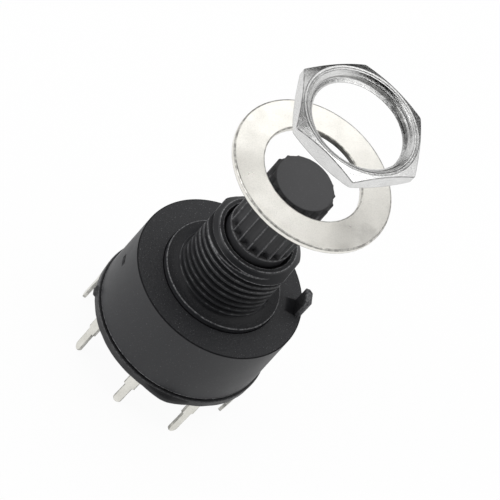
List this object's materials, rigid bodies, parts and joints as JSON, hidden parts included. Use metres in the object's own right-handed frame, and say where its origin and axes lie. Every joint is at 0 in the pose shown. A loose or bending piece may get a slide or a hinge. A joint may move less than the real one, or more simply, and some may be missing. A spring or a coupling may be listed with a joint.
{
  "type": "rotary switch",
  "caption": "Panel-mount rotary switch: round plastic body, threaded bushing, knurled shaft, terminals under its base, and a washer and hexagon nut held off above the shaft.",
  "frame": {"origin": "centre of the raised seat that bears on the panel, on the shaft's axis", "axes": "+Z along the shaft, out of the panel; +X through the middle terminal of one pole, close to the locating lug"},
  "size_m": [0.0168, 0.017, 0.037],
  "materials": {
    "housing_plastic": "fine moulded grain",
    "base_plastic": "smooth moulded",
    "shaft_plastic": "smooth moulded",
    "rotor_plastic": "natural moulded",
    "contact_silver": "silver plated, dull",
    "wiper_bronze": "rolled strip",
    "spring_steel": "rolled strip",
    "washer_nickel": "dull nickel",
    "nut_nickel": "bright nickel"
  },
  "bodies": {
    "body": {"housing": "housing_plastic", "base_plate": "base_plastic", "terminal_1": "contact_silver", "terminal_2": "contact_silver", "terminal_3": "contact_silver", "terminal_4": "contact_silver", "terminal_5": "contact_silver", "terminal_6": "contact_silver", "terminal_7": "contact_silver", "terminal_8": "contact_silver", "terminal_9": "contact_silver", "common_1": "contact_silver", "common_2": "contact_silver", "common_3": "contact_silver"},
    "rotor_assembly": {"shaft": "shaft_plastic", "rotor": "rotor_plastic", "detent_spring": "spring_steel", "wiper_1": "wiper_bronze", "wiper_2": "wiper_bronze", "wiper_3": "wiper_bronze"},
    "washer": {"washer": "washer_nickel"},
    "nut": {"nut": "nut_nickel"}
  },
  "joints": [
    {"name": "shaft_turn", "type": "hinge", "parent": "body", "child": "rotor_assembly", "pos_m": [0, 0, 0], "axis": [0, 0, 1], "range_deg": [-40, 40], "deforming": ["detent_spring"]},
    {"name": "washer_slide", "type": "slide", "parent": "body", "child": "washer", "axis": [0, 0, 1], "range_m": [-0.01435, 0]},
    {"name": "nut_slide", "type": "slide", "parent": "washer", "child": "nut", "axis": [0, 0, 1], "range_m": [-0.00655, 0]}
  ]
}
